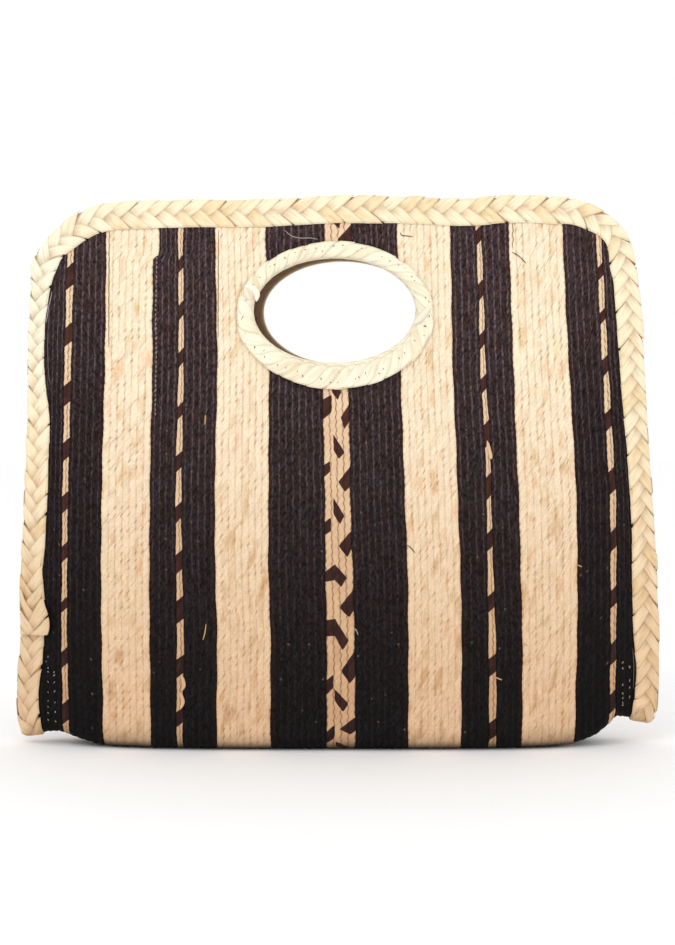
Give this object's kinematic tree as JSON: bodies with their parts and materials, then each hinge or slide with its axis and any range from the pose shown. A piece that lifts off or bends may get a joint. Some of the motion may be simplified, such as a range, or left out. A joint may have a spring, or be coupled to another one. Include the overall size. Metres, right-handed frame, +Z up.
{
  "type": "straw tote bag",
  "caption": "Flat woven straw tote with striped bands, an open mouth, an oval hand hole in each wall and a braided edge; it stands on its folded base",
  "frame": {"origin": "on the ground under the middle of the bag's bounding box", "axes": "+X runs along the width to the right as seen from the front, +Y runs from the front wall to the back wall, +Z is up"},
  "size_m": [0.4, 0.07, 0.3397],
  "materials": {
    "black_straw": "dyed black plaited straw, low sheen",
    "pale_straw": "natural cream plaited straw, dry and matte",
    "dashed_straw": "natural plaited straw with dark brown dashes",
    "braid_straw": "pale flat palm braid, slightly shiny strands"
  },
  "bodies": {
    "root": {"black_band_1_front": "black_straw", "black_band_1_back": "black_straw", "dashed_row_1": "dashed_straw", "black_band_2_front": "black_straw", "black_band_2_back": "black_straw", "pale_band_1_front": "pale_straw", "pale_band_1_base": "pale_straw", "pale_band_1_back": "pale_straw", "black_band_3_front": "black_straw", "black_band_3_base": "black_straw", "black_band_3_back": "black_straw", "dashed_row_2_front": "dashed_straw", "dashed_row_2_base": "dashed_straw", "dashed_row_2_back": "dashed_straw", "black_band_4_front": "black_straw", "black_band_4_base": "black_straw", "black_band_4_back": "black_straw", "pale_band_2_front": "pale_straw", "pale_band_2_base": "pale_straw", "pale_band_2_back": "pale_straw", "black_band_5_front": "black_straw", "black_band_5_front_top": "black_straw", "black_band_5_base": "black_straw", "black_band_5_back": "black_straw", "black_band_5_back_top": "black_straw", "zigzag_band_front": "dashed_straw", "zigzag_band_front_top": "dashed_straw", "zigzag_band_base": "dashed_straw", "zigzag_band_back": "dashed_straw", "zigzag_band_back_top": "dashed_straw", "black_band_6_front": "black_straw", "black_band_6_front_top": "black_straw", "black_band_6_base": "black_straw", "black_band_6_back": "black_straw", "black_band_6_back_top": "black_straw", "pale_band_3_front": "pale_straw", "pale_band_3_base": "pale_straw", "pale_band_3_back": "pale_straw", "black_band_7_front": "black_straw", "black_band_7_base": "black_straw", "black_band_7_back": "black_straw", "dashed_row_3_front": "dashed_straw", "dashed_row_3_base": "dashed_straw", "dashed_row_3_back": "dashed_straw", "black_band_8_front": "black_straw", "black_band_8_base": "black_straw", "black_band_8_back": "black_straw", "pale_band_4_front": "pale_straw", "pale_band_4_base": "pale_straw", "pale_band_4_back": "pale_straw", "black_band_9_front": "black_straw", "black_band_9_back": "black_straw", "dashed_row_4": "dashed_straw", "black_band_10_front": "black_straw", "black_band_10_back": "black_straw", "edge_braid": "braid_straw", "front_handle_ring": "braid_straw", "back_handle_ring": "braid_straw"}
  },
  "joints": []
}
